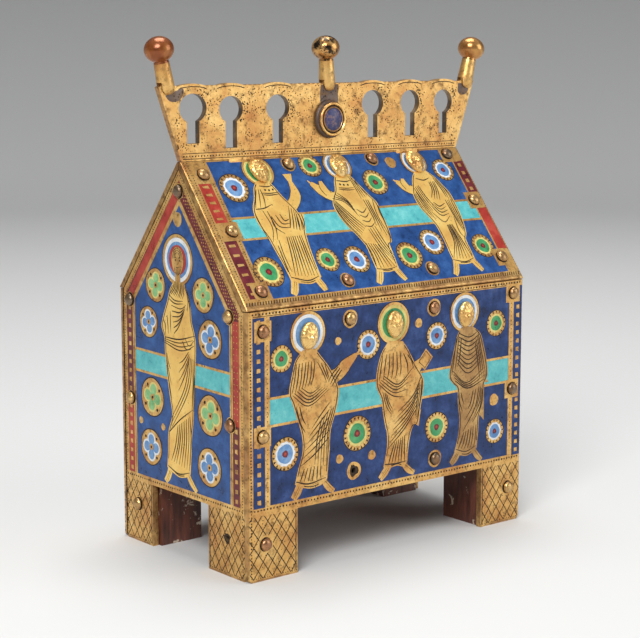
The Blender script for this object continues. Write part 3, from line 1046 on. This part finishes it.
# the back is plainer: rows of quatrefoils on blue
backLook = {"rows": (36, 53.5, 71), "across": 17.2, "count": 6, "radius": 6.4}


def drawBack():
    drawing = [(longSideOutline(0), "gilt")]
    feetHatching(drawing, -58.2, -40.6, 40.6, 59, 3.7, 5.2)
    block(drawing, -61, casket["footTop"] - 0.2, 61, 86, "gilt")
    beadRow(drawing, (-57.6, 22.8), (58, 22.8), 1.25, 0.36)
    block(drawing, -57, 24.5, 57, 83.5, "red")
    block(drawing, -52.6, 24.5, 52.6, 83.5, "gilt")
    block(drawing, -51.6, 24.5, 51.6, 83.5, "lapis")
    for x in (-54.8, 54.8):
        squareRow(drawing, (x, 24.5), (x, 83.5), 3.1, 0.65)
        beadRow(drawing, (x * 1.07, 2), (x * 1.07, 83), 1.1, 0.25)
    for row, y in enumerate(backLook["rows"]):
        for k in range(backLook["count"]):
            x = (k - (backLook["count"] - 1) / 2) * backLook["across"]
            quatrefoil(drawing, x, y, backLook["radius"], "blue" if (row + k) % 2 else "green")
            if k and row:
                disc(drawing, x - backLook["across"] / 2, y - 8.75, 1.3, "gilt", 12, 0.05)
    beadRow(drawing, (-58, 84.5), (58, 84.5), 1.3, 0.38)
    for x, y in nailPlaces["back"]:
        if y > casket["footTop"]:
            block(drawing, x - 3.2, y - 3.2, x + 3.2, y + 3.2, "gilt")
        nailSeat(drawing, x, y, 2.9)
    return drawing


backPlate = buildPlate("backPlate", drawBack(), faces["back"], plainRings, sideRounding)
finishPiece(backPlate, "back_plate")


def drawBackRoof():
    drawing = [([(-halfW, eaveLine), (halfW, eaveLine), (halfW, ridgeLine), (-halfW, ridgeLine)], "gilt")]
    block(drawing, -57, 4, 57, 54.4, "maroon")
    block(drawing, -52.6, 4, 52.6, 54.4, "gilt")
    block(drawing, -51.6, 4, 51.6, 54.4, "lapis")
    for x in (-54.8, 54.8):
        squareRow(drawing, (x, 4), (x, 54.4), 3.1, 0.65)
        beadRow(drawing, (x * 1.07, 3), (x * 1.07, 54), 1.1, 0.25)
    for row, y in enumerate((13, 29.5, 46)):
        for k in range(6 - row % 2):
            x = (k - (5 - row % 2) / 2) * 17.2
            if abs(x) < 40 or row != 2:
                roundel(drawing, x, y, 5.4, "blue" if (row + k) % 2 else "green")
    beadRow(drawing, (-59, 2.5), (59, 2.5), 1.1, 0.3)
    for x, y in nailPlaces["back_roof"]:
        nailSeat(drawing, x, y, 2.9)
    for x in (-36, 36):
        block(drawing, x - 5.3, 54.3, x + 5.3, 60, "hole")
    return drawing


backRoofPlate = buildPlate("backRoofPlate", drawBackRoof(), faces["back_roof"], roofRings, roofRounding)
finishPiece(backRoofPlate, "back_roof_plate")
print("plates are ready")


# crest: a pierced plate standing on the ridge
crestLook = {
    "thickness": 2.3, "bottomHalf": 59.6, "topHalf": 67.8, "top": 153.2, "lobeRise": 0.9, "arcHalf": 5.6,
    # every keyhole: its middle, half width and half height, then its slot's half width and bottom
    "keyholes": [(-54.9, 145.9, 5.3, 4.6, 2.4, 134.8), (-40, 145.2, 4.7, 4.3, 2.3, 132.9),
                 (-21, 145.3, 4.8, 4.3, 2.1, 133.8), (20.1, 145.8, 4.8, 4.5, 2.2, 134.2),
                 (37.3, 145.7, 4.4, 4.3, 2.2, 134.2), (53.1, 145.7, 4.3, 4.2, 1.8, 134.6)],
    "tenons": (-36, 36), "tenonHalf": 5, "tenonDeep": 8, "pits": 420,
    # dark solder around the finials' feet
    "solder": [[(-65.4, 150), (-63.5, 148.2), (-60.4, 148.3), (-58.4, 150.4), (-58.7, 152.2),
                (-60.8, 151.6)],
               [(-2.8, 152.4), (-3.2, 149), (-2.6, 145.6), (0.7, 145.2), (4.4, 146), (4.6, 149.4),
                (4.4, 152.4)],
               [(60.4, 152), (60.2, 149.4), (61.6, 147.9), (64.2, 148.2), (65.4, 150), (64, 151.6)]],
}


def crestOutline():
    look = crestLook
    bottom = casket["ridgeFlat"] + 0.04
    outline = [(-look["bottomHalf"], bottom)]
    for centre in look["tenons"]:
        low = casket["ridgeFlat"] - look["tenonDeep"]
        outline += [(centre - look["tenonHalf"], bottom), (centre - look["tenonHalf"], low),
                    (centre + look["tenonHalf"], low), (centre + look["tenonHalf"], bottom)]
    outline.append((look["bottomHalf"], bottom))
    low = look["top"] - look["lobeRise"] / 2
    edge = [(look["topHalf"], low)]
    centres = sorted((hole[0] for hole in look["keyholes"]), reverse=True)
    for centre, following in zip(centres, centres[1:] + [-look["topHalf"] - look["arcHalf"]]):
        for k in range(13):
            place = 1 - k / 6
            edge.append((centre + place * look["arcHalf"],
                         low + (look["lobeRise"] - 0.05) * (1 - place * place)))
        start, end = centre - look["arcHalf"], following + look["arcHalf"]
        beads = max(1, round((start - end) / 1.9))
        for k in range(beads):
            middle = start + (end - start) * (k + 0.5) / beads
            edge.append((middle, low + 0.28 + 0.15 * noise.noise(Vector((middle, 3, 1)))))
            if k + 1 < beads:
                edge.append((start + (end - start) * (k + 1) / beads, low - 0.12))
    edge.append((-look["topHalf"], low - 0.1))
    return outline + edge


def drawCrest():
    look = crestLook
    drawing = [(crestOutline(), "gilt")]
    for bare, rise in ((0.55, 0.0), (2.3, 0.0)):
        stroke(drawing, [(-59, 129.4 + bare), (59, 129.4 + bare + rise)], 0.22, "groove", 0.22, 0.22)
    beadRow(drawing, (-58.6, 130.8), (58.6, 130.8), 1.15, 0.28)
    for x, *_ in look["keyholes"]:
        reach = look["arcHalf"] - 0.2
        stroke(drawing, [(x - reach, 151.9), (x - reach * 0.6, 152.45), (x, 152.65),
                         (x + reach * 0.6, 152.45),
                         (x + reach, 151.9)], 0.3, endWidth=0.3, startWidth=0.3)
    for patch in look["solder"]:
        drawing.append((curveThrough([*patch, patch[0]], 4)[:-1], "solder"))
    for x, z, wide, tall, slotHalf, slotBottom in look["keyholes"]:
        for _ in range(30):
            angle = dice.uniform(-0.9, 1.3)
            reach = dice.uniform(1.05, 1.5)
            disc(drawing, x + wide * reach * math.cos(angle), z + tall * reach * math.sin(angle),
                 dice.uniform(0.14, 0.34), "groove", 5, 0.1)
    for _ in range(look["pits"]):
        x, y = dice.uniform(-62, 62), dice.uniform(132, 152)
        for _ in range(dice.randint(1, 5)):
            disc(drawing, x + dice.gauss(0, 0.8), y + dice.gauss(0, 0.8), dice.uniform(0.12, 0.28),
                 "groove", 5)
    for x, z, wide, tall, slotHalf, slotBottom in look["keyholes"]:
        half = math.asin(slotHalf / wide)
        hole = [(x - slotHalf, slotBottom), (x + slotHalf, slotBottom)]
        for k in range(33):
            angle = -math.pi / 2 + half + k * (math.tau - 2 * half) / 32
            hole.append((x + wide * math.cos(angle), z + tall * math.sin(angle)))
        drawing.append((hole, "hole"))
    disc(drawing, 0.7, 141, 1.0, "hole", 12)
    return drawing


crestPlace = Matrix.Translation((0, -crestLook["thickness"] / 2, 0)) @ Matrix.Rotation(upright, 4, "X")
crestRings = [(crestLook["thickness"] - 0.2, noShift), (crestLook["thickness"], noShift)]
crestPlate = buildPlate("crestPlate", drawCrest(), crestPlace, crestRings,
                        {"lines": [], "insets": (), "radius": 0.3}, hammer=0.12, backFilling="gilt")
finishPiece(crestPlate, "crest")


def turned(name, profile, sides, finishAt):
    deselectAll()
    mesh = bpy.data.meshes.new(name)
    edges = [(k, k + 1) for k in range(len(profile) - 1)]
    mesh.from_pydata([(r * mm, 0, z * mm) for r, z in profile], edges, [])
    piece = bpy.data.objects.new(name, mesh)
    bpy.context.scene.collection.objects.link(piece)
    makeActive(piece)
    bpy.ops.object.mode_set(mode="EDIT")
    bpy.ops.mesh.select_all(action="SELECT")
    bpy.ops.mesh.spin(steps=sides, angle=math.tau, center=(0, 0, 0), axis=(0, 0, 1))
    bpy.ops.mesh.select_all(action="SELECT")
    bpy.ops.mesh.remove_doubles(threshold=0.000002)
    bpy.ops.mesh.normals_make_consistent(inside=False)
    bpy.ops.object.mode_set(mode="OBJECT")
    slotsUsed = sorted(set(f for _, f in finishAt))
    for filling in slotsUsed:
        mesh.materials.append(finishes[filling])
    for polygon in mesh.polygons:
        middle = polygon.center
        reach, height = math.hypot(middle.x, middle.y) / mm, middle.z / mm
        polygon.material_index = slotsUsed.index(next(f for test, f in finishAt if test(reach, height)))
    return piece


def settle(piece, place):
    piece.data.transform(Matrix.Scale(mm, 4) @ place @ Matrix.Scale(1 / mm, 4))
    piece.data.update()


nailLook = {"radius": 2.05, "dome": 1.5, "shank": 0.7, "length": 6.4, "ridgeLength": 3.2}


def addNails():
    look = nailLook
    for face, spots in nailPlaces.items():
        for number, (x, y) in enumerate(spots, 1):
            deep = look["ridgeLength"] if "roof" in face and y > 40 else look["length"]
            profile = [(0, -deep), (look["shank"], -deep + 1.2), (look["shank"], 0.1),
                       (look["radius"], 0.1)]
            for k in range(1, 8):
                angle = k * math.pi / 14
                reach = look["radius"] * math.cos(angle) ** 0.9
                profile.append((reach, 0.1 + (look["dome"] - 0.1) * math.sin(angle)))
            profile[-1] = (0, look["dome"])
            node = f"{face}_nail_{number}"
            kind = dice.choice(("nail", "nail", "copperNail", "darkNail"))
            piece = turned(node.title().replace("_", ""), profile, 20, [(lambda r, z: True, kind)])
            flat = dice.uniform(0.0, 0.12)
            for vertex in piece.data.vertices:
                if vertex.co.z > 0.0002:
                    dent = noise.noise(Vector((vertex.co.x * 900, vertex.co.y * 900, x + y)))
                    vertex.co.z -= (0.09 * (0.5 + 0.5 * dent) + flat) * mm * min(1, vertex.co.z / mm)
            settle(piece, faces[face] @ Matrix.Translation((x, y, 0.3)))
            makeActive(piece)
            bpy.ops.object.shade_smooth_by_angle(angle=math.radians(50))
            finishPiece(piece, node)


nailGilt = dict(giltLook, gold=(0.52, 0.32, 0.13), copper=(0.30, 0.16, 0.08), smooth=0.2, rough=0.42,
                broadScale=210)
finishes["nail"] = giltFinish("nailGilt", nailGilt)
finishes["copperNail"] = giltFinish("nailCopper",
                                    dict(nailGilt, pale=(0.55, 0.30, 0.13), gold=(0.36, 0.17, 0.08)))
finishes["darkNail"] = giltFinish("nailDark", dict(nailGilt, pale=(0.30, 0.22, 0.14),
                                                   gold=(0.17, 0.12, 0.08)))
addNails()
print("nails are ready")


# relief heads, all of one calm type
headLook = {"wide": 6.8, "tall": 9, "reach": 2.9, "most": 2.68, "rings": 26, "spokes": 72}


def swell(x, y, cx, cy, wx, wy):
    return math.exp(-((x - cx) / wx) ** 2 - ((y - cy) / wy) ** 2)


def headRelief(x, y, beard):
    rim = max(0, 1 - x * x - y * y)
    h = 0.70 * math.sqrt(rim)
    h += 0.24 * swell(x, y, 0, -0.10, 0.13, 0.22) + 0.08 * swell(x, y, 0, -0.22, 0.2, 0.07)
    for side in (-1, 1):
        h -= 0.15 * swell(x, y, side * 0.32, 0.07, 0.19, 0.12)
        h += 0.08 * swell(x, y, side * 0.32, 0.06, 0.11, 0.055)
        h += 0.07 * swell(x, y, side * 0.33, 0.24, 0.24, 0.05)
        h += 0.05 * swell(x, y, side * 0.42, -0.25, 0.2, 0.2)
    h += 0.06 * (swell(x, y, 0, -0.43, 0.2, 0.035) + swell(x, y, 0, -0.52, 0.17, 0.04))
    h -= 0.05 * swell(x, y, 0, -0.475, 0.2, 0.02)
    h += 0.09 * swell(x, y, 0, -0.78, 0.24, 0.14)
    angle = math.atan2(x, y + 0.15)
    hair = 0
    if y > -0.35 or abs(x) > 0.5:
        hair = 1 / (1 + math.exp(-(math.hypot(x * 0.95, y + 0.12) - 0.66) * 22))
    h += hair * (0.07 + 0.03 * math.sin(angle * 17 + 5 * math.hypot(x, y)))
    if beard and y < -0.5:
        h += 0.035 * math.sin(x * 34) * min(1, (-0.5 - y) * 5) * rim
    return h


def addHead(name, node, face, x, y, beard, tilt):
    look = headLook
    deselectAll()
    bpy.ops.mesh.primitive_uv_sphere_add(segments=look["spokes"], ring_count=look["rings"] * 2, radius=1)
    piece = bpy.context.object
    piece.name = name
    bpy.ops.object.mode_set(mode="EDIT")
    bpy.ops.mesh.select_all(action="SELECT")
    bpy.ops.mesh.bisect(plane_co=(0, 0, 0.001), plane_no=(0, 0, 1), clear_inner=True, use_fill=True)
    bpy.ops.object.mode_set(mode="OBJECT")
    for vertex in piece.data.vertices:
        px, py, pz = vertex.co
        share = math.hypot(px, py)
        jaw = 1 - 0.14 * max(0, -py) ** 1.5
        height = 0 if pz < 0.01 else min(look["most"], max(0.04, headRelief(px, py, beard)) * look["reach"])
        vertex.co = (px * jaw * look["wide"] / 2 * mm, py * look["tall"] / 2 * mm, height * mm)
    piece.data.materials.append(finishes["relief"])
    place = faces[face] @ Matrix.Translation((x, y, 0.3)) @ Matrix.Rotation(math.radians(tilt), 4, "Z")
    settle(piece, place)
    makeActive(piece)
    bpy.ops.object.shade_smooth()
    finishPiece(piece, node)


reliefGilt = dict(giltLook, pale=(0.88, 0.63, 0.27), gold=(0.78, 0.49, 0.16), smooth=0.22, rough=0.4,
                  bump=0.1,
                  wearFrom=0.62, wearTo=0.8, pitFrom=0.72)
finishes["relief"] = giltFinish("reliefGilt", reliefGilt)
headPlaces = [("front_head", "front", (-36.3, -0.4, 31.7), 75.8, (-8, 4, 0)),
              ("roof_head", "front_roof", (-31.8, 1.8, 36.4), 50.2, (4, -6, 5))]
for stem, face, xs, y, tilts in headPlaces:
    for side, x, tilt in zip(("left", "middle", "right"), xs, tilts):
        addHead(f"{stem}_{side}_relief", f"{stem}_{side}", face, x, y, side != "right", tilt)
print("heads are ready")


finialLook = {"knob": 4.74, "knobHalf": 4.15, "knobHeight": 164.5, "stem": 2.75, "bottom": 150,
              "feet": [("left", -63.7, -12), ("middle", 0.9, -3), ("right", 63.9, 15)]}


def addFinials():
    look = finialLook
    for side, x, lean in look["feet"]:
        profile = [(0, 0), (look["stem"] * 0.45, 0.15), (look["stem"] * 0.8, 0.8), (look["stem"], 2.2),
                   (look["stem"] - 0.05, 5), (look["stem"] - 0.2, 8), (look["stem"] - 0.3, 10.3)]
        start, steps = -math.pi * 0.33, 16
        for k in range(steps + 1):
            angle = start + (math.pi / 2 - start) * k / steps
            reach = 0 if k == steps else look["knob"] * math.cos(angle)
            profile.append((reach, look["knobHeight"] - look["bottom"] + look["knobHalf"] * math.sin(angle)))
        knob = {"left": "worn", "middle": "patchy", "right": "halfGilt"}[side]
        piece = turned(side + "Finial", profile, 40,
                       [(lambda r, z: z > 10.4, knob), (lambda r, z: True, "gilt")])
        leaning = Matrix.Rotation(math.radians(lean), 4, "Y")
        settle(piece, Matrix.Translation((x, 0, look["bottom"])) @ leaning)
        deselectAll()
        slit = crestLook["thickness"] / 2 + 0.3
        bpy.ops.mesh.primitive_cube_add(size=1, location=(x * mm, 0, (look["bottom"] + 0.88) * mm))
        cutter = bpy.context.object
        cutter.scale = (18 * mm, 2 * slit * mm, 6.2 * mm)
        bpy.ops.object.transform_apply(location=True, rotation=True, scale=True)
        cutter.data.materials.append(finishes["groove"])
        makeActive(piece)
        cut = piece.modifiers.new("slit", "BOOLEAN")
        cut.object, cut.operation, cut.solver = cutter, "DIFFERENCE", "EXACT"
        bpy.ops.object.modifier_apply(modifier="slit")
        bpy.data.objects.remove(cutter)
        bpy.ops.object.shade_smooth_by_angle(angle=math.radians(40))
        finishPiece(piece, side + "_finial")


wornKnob = dict(giltLook, pale=(0.46, 0.20, 0.06), gold=(0.27, 0.075, 0.018), copper=(0.16, 0.04, 0.012),
                wearFrom=0.6, wearTo=0.75, smooth=0.16, rough=0.3, bump=0.1, broadScale=140, metallic=0.45)
patchyKnob = dict(giltLook, broadScale=120, gold=(0.50, 0.24, 0.07), copper=(0.04, 0.026, 0.016),
                  brown=(0.03, 0.02, 0.012), wearFrom=0.5, wearTo=0.56, smooth=0.16, rough=0.3)
finishes["worn"] = giltFinish("wornKnob", wornKnob)
finishes["patchy"] = giltFinish("patchyKnob", patchyKnob)
halfGiltKnob = dict(wornKnob, pale=(0.74, 0.48, 0.17), gold=(0.50, 0.24, 0.07), copper=(0.24, 0.07, 0.02),
                    metallic=0.7, broadScale=90)
finishes["halfGilt"] = giltFinish("halfGiltKnob", halfGiltKnob)
addFinials()


finishes["dullBlue"] = enamelFinish("dullBlueEnamel", {
    "deep": (0.018, 0.020, 0.060), "colour": (0.045, 0.050, 0.135), "pale": (0.300, 0.170, 0.110),
    "cloudScale": 560})


def addMedallion():
    front = crestLook["thickness"] / 2 + 0.3
    profile = [(0, -front - 1.0), (1.2, -front - 0.7), (1.7, -front - 0.2), (0.7, -front - 0.2),
               (0.7, front),
               (6.4, front), (6.35, front + 0.5), (6.1, front + 0.9), (5.75, front + 1.1),
               (5.65, front + 1.9),
               (5.35, front + 2.25), (4.95, front + 2.25), (4.7, front + 2.0), (4.6, front + 1.7),
               (4.25, front + 1.7),
               (4.2, front + 2.1), (4.0, front + 2.25), (3.75, front + 2.1), (3.7, front + 2.0),
               (2.8, front + 2.45),
               (1.5, front + 2.72), (0, front + 2.8)]
    piece = turned("medallionBoss", profile, 56, [
        (lambda r, z: z > front + 1.9 and r < 3.72, "dullBlue"),
        (lambda r, z: z > front + 1.6 and 4.22 < r < 4.75, "groove"),
        (lambda r, z: z > front + 1.6 and r > 4.7, "relief"), (lambda r, z: z > front + 1.6, "edge"),
        (lambda r, z: True, "solder")])
    place = Matrix.Translation((0.7, 0, 141)) @ Matrix.Rotation(upright, 4, "X")
    settle(piece, place)
    makeActive(piece)
    bpy.ops.object.shade_smooth_by_angle(angle=math.radians(45))
    finishPiece(piece, "crest_medallion")


addMedallion()
print("finials and medallion are ready")


woodLook = {"paint": (0.150, 0.042, 0.022), "dark": (0.050, 0.016, 0.010), "bare": (0.50, 0.40, 0.30)}


def woodFinish():
    finish, tree, shader = newFinish("paintedWood", 0.5)
    place = ownPlace(tree)
    stretch = addNode(tree, "ShaderNodeMapping")
    stretch.inputs["Scale"].default_value = (1, 1, 0.16)
    tree.links.new(place, stretch.inputs["Vector"])
    grain = noiseAt(tree, stretch.outputs["Vector"], 520, 6, 0.65)
    chips = noiseAt(tree, place, 210, 5, 0.7, 0.4)
    colour = ramp(tree, grain, [(0.35, woodLook["dark"]), (0.62, woodLook["paint"]),
                                (0.8, (0.20, 0.060, 0.032))])
    chipShare = ramp(tree, chips, [(0.62, (0, 0, 0)), (0.635, (1, 1, 1))])
    colour = mixColours(tree, chipShare, colour, woodLook["bare"])
    tree.links.new(colour, shader.inputs["Base Color"])
    tree.links.new(mapRange(tree, grain, 0.3, 0.7, 0.32, 0.62), shader.inputs["Roughness"])
    bumpFrom(tree, shader, mixColours(tree, 0.5, grain, chips), 0.5, 0.0006)
    return finish


finishes["wood"] = woodFinish()
for nodeName in ("wooden_core", "bottom_board"):
    nodes[nodeName].data.materials.clear()
    nodes[nodeName].data.materials.append(finishes["wood"])
print("wood is ready")


stageLook = {"lens": 97.31, "eye": (-371.61, -449.80, 167.21), "target": (-2.28, 0, 73.24)}


def addStage():
    deselectAll()
    bpy.ops.mesh.primitive_cylinder_add(vertices=96, radius=1.9, depth=1.6, location=(0, 0, 0.8))
    backdrop = bpy.context.object
    backdrop.name = "backdrop"
    bpy.ops.object.transform_apply(location=True, rotation=True, scale=True)
    bpy.ops.object.mode_set(mode="EDIT")
    bpy.ops.mesh.select_all(action="DESELECT")
    bpy.ops.object.mode_set(mode="OBJECT")
    for polygon in backdrop.data.polygons:
        polygon.select = polygon.normal.z > 0.9
    bpy.ops.object.mode_set(mode="EDIT")
    bpy.ops.mesh.delete(type="FACE")
    bpy.ops.mesh.select_all(action="SELECT")
    bpy.ops.mesh.flip_normals()
    bpy.ops.object.mode_set(mode="OBJECT")
    for edge in backdrop.data.edges:
        edge.select = all(backdrop.data.vertices[v].co.z < 0.01 for v in edge.vertices)
    bevel = backdrop.modifiers.new("curve", "BEVEL")
    bevel.width, bevel.segments, bevel.angle_limit = 0.75, 16, math.radians(60)
    bpy.ops.object.modifier_apply(modifier="curve")
    bpy.ops.object.shade_smooth()
    finish, tree, shader = newFinish("paleFloor", 0.75)
    height = addNode(tree, "ShaderNodeSeparateXYZ")
    tree.links.new(ownPlace(tree), height.inputs["Vector"])
    shade = ramp(tree, mapRange(tree, height.outputs["Z"], 0.0, 1.2, 0, 1),
                 [(0.02, (0.66, 0.66, 0.65)), (0.35, (0.34, 0.34, 0.34)), (0.8, (0.20, 0.20, 0.20))])
    tree.links.new(shade, shader.inputs["Base Color"])
    backdrop.data.materials.append(finish)
    world = bpy.data.worlds.new("studio")
    world.use_nodes = True
    world.node_tree.nodes["Background"].inputs["Color"].default_value = (0.78, 0.80, 0.83, 1)
    world.node_tree.nodes["Background"].inputs["Strength"].default_value = 0.42
    bpy.context.scene.world = world
    for name, spot, size, power in (("keyLight", (-0.75, -0.55, 0.85), 0.55, 12.5),
                                    ("fillLight", (0.75, -0.9, 0.5), 0.8, 5),
                                    ("topLight", (0.1, 0.2, 1.2), 0.7, 9)):
        lamp = bpy.data.lights.new(name, "AREA")
        lamp.size, lamp.energy = size, power
        light = bpy.data.objects.new(name, lamp)
        bpy.context.scene.collection.objects.link(light)
        light.location = spot
        light.rotation_euler = (Vector((0, 0, 0.08)) - Vector(spot)).to_track_quat("-Z", "Y").to_euler()
    camera = bpy.data.objects.new("camera", bpy.data.cameras.new("camera"))
    bpy.context.scene.collection.objects.link(camera)
    camera.data.lens = stageLook["lens"]
    camera.data.clip_start = 0.01
    eye, target = Vector(stageLook["eye"]) * mm, Vector(stageLook["target"]) * mm
    camera.location = eye
    camera.rotation_euler = (target - eye).to_track_quat("-Z", "Y").to_euler()
    bpy.context.scene.camera = camera
    bpy.context.scene.view_settings.view_transform = "Standard"


addStage()
print("stage is ready")
